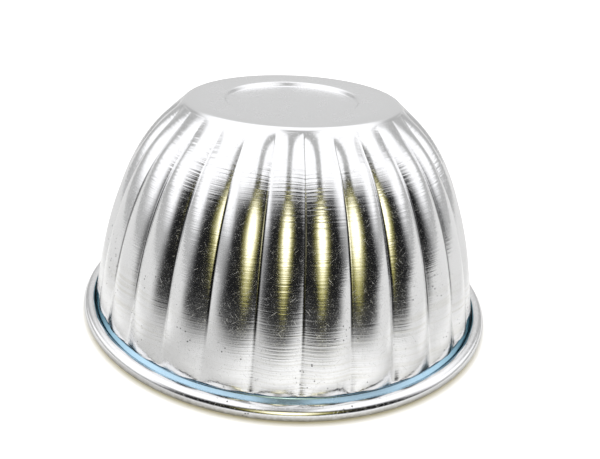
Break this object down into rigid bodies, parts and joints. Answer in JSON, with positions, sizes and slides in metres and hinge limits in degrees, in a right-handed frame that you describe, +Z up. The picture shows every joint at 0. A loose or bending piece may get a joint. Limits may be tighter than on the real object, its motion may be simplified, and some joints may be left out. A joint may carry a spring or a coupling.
{
  "type": "jelly mould",
  "caption": "Round pressed-metal jelly mould with a fluted domed wall, a flat recessed crown and a rolled, wired rim. Stands open side down; turned over, it holds jelly to set.",
  "frame": {"origin": "on the mould's axis, in the plane that the rolled rim stands on", "axes": "+Z up along the mould's axis, from the rim to the crown; -Y towards the side that a lobe's crest faces"},
  "size_m": [0.09, 0.09, 0.046],
  "materials": {
    "shell_aluminium": "bright polished pressed aluminium with fine turning lines",
    "wire_steel": "plain drawn steel wire"
  },
  "bodies": {
    "root": {"pressed_shell": "shell_aluminium", "rim_wire": "wire_steel"}
  },
  "joints": []
}
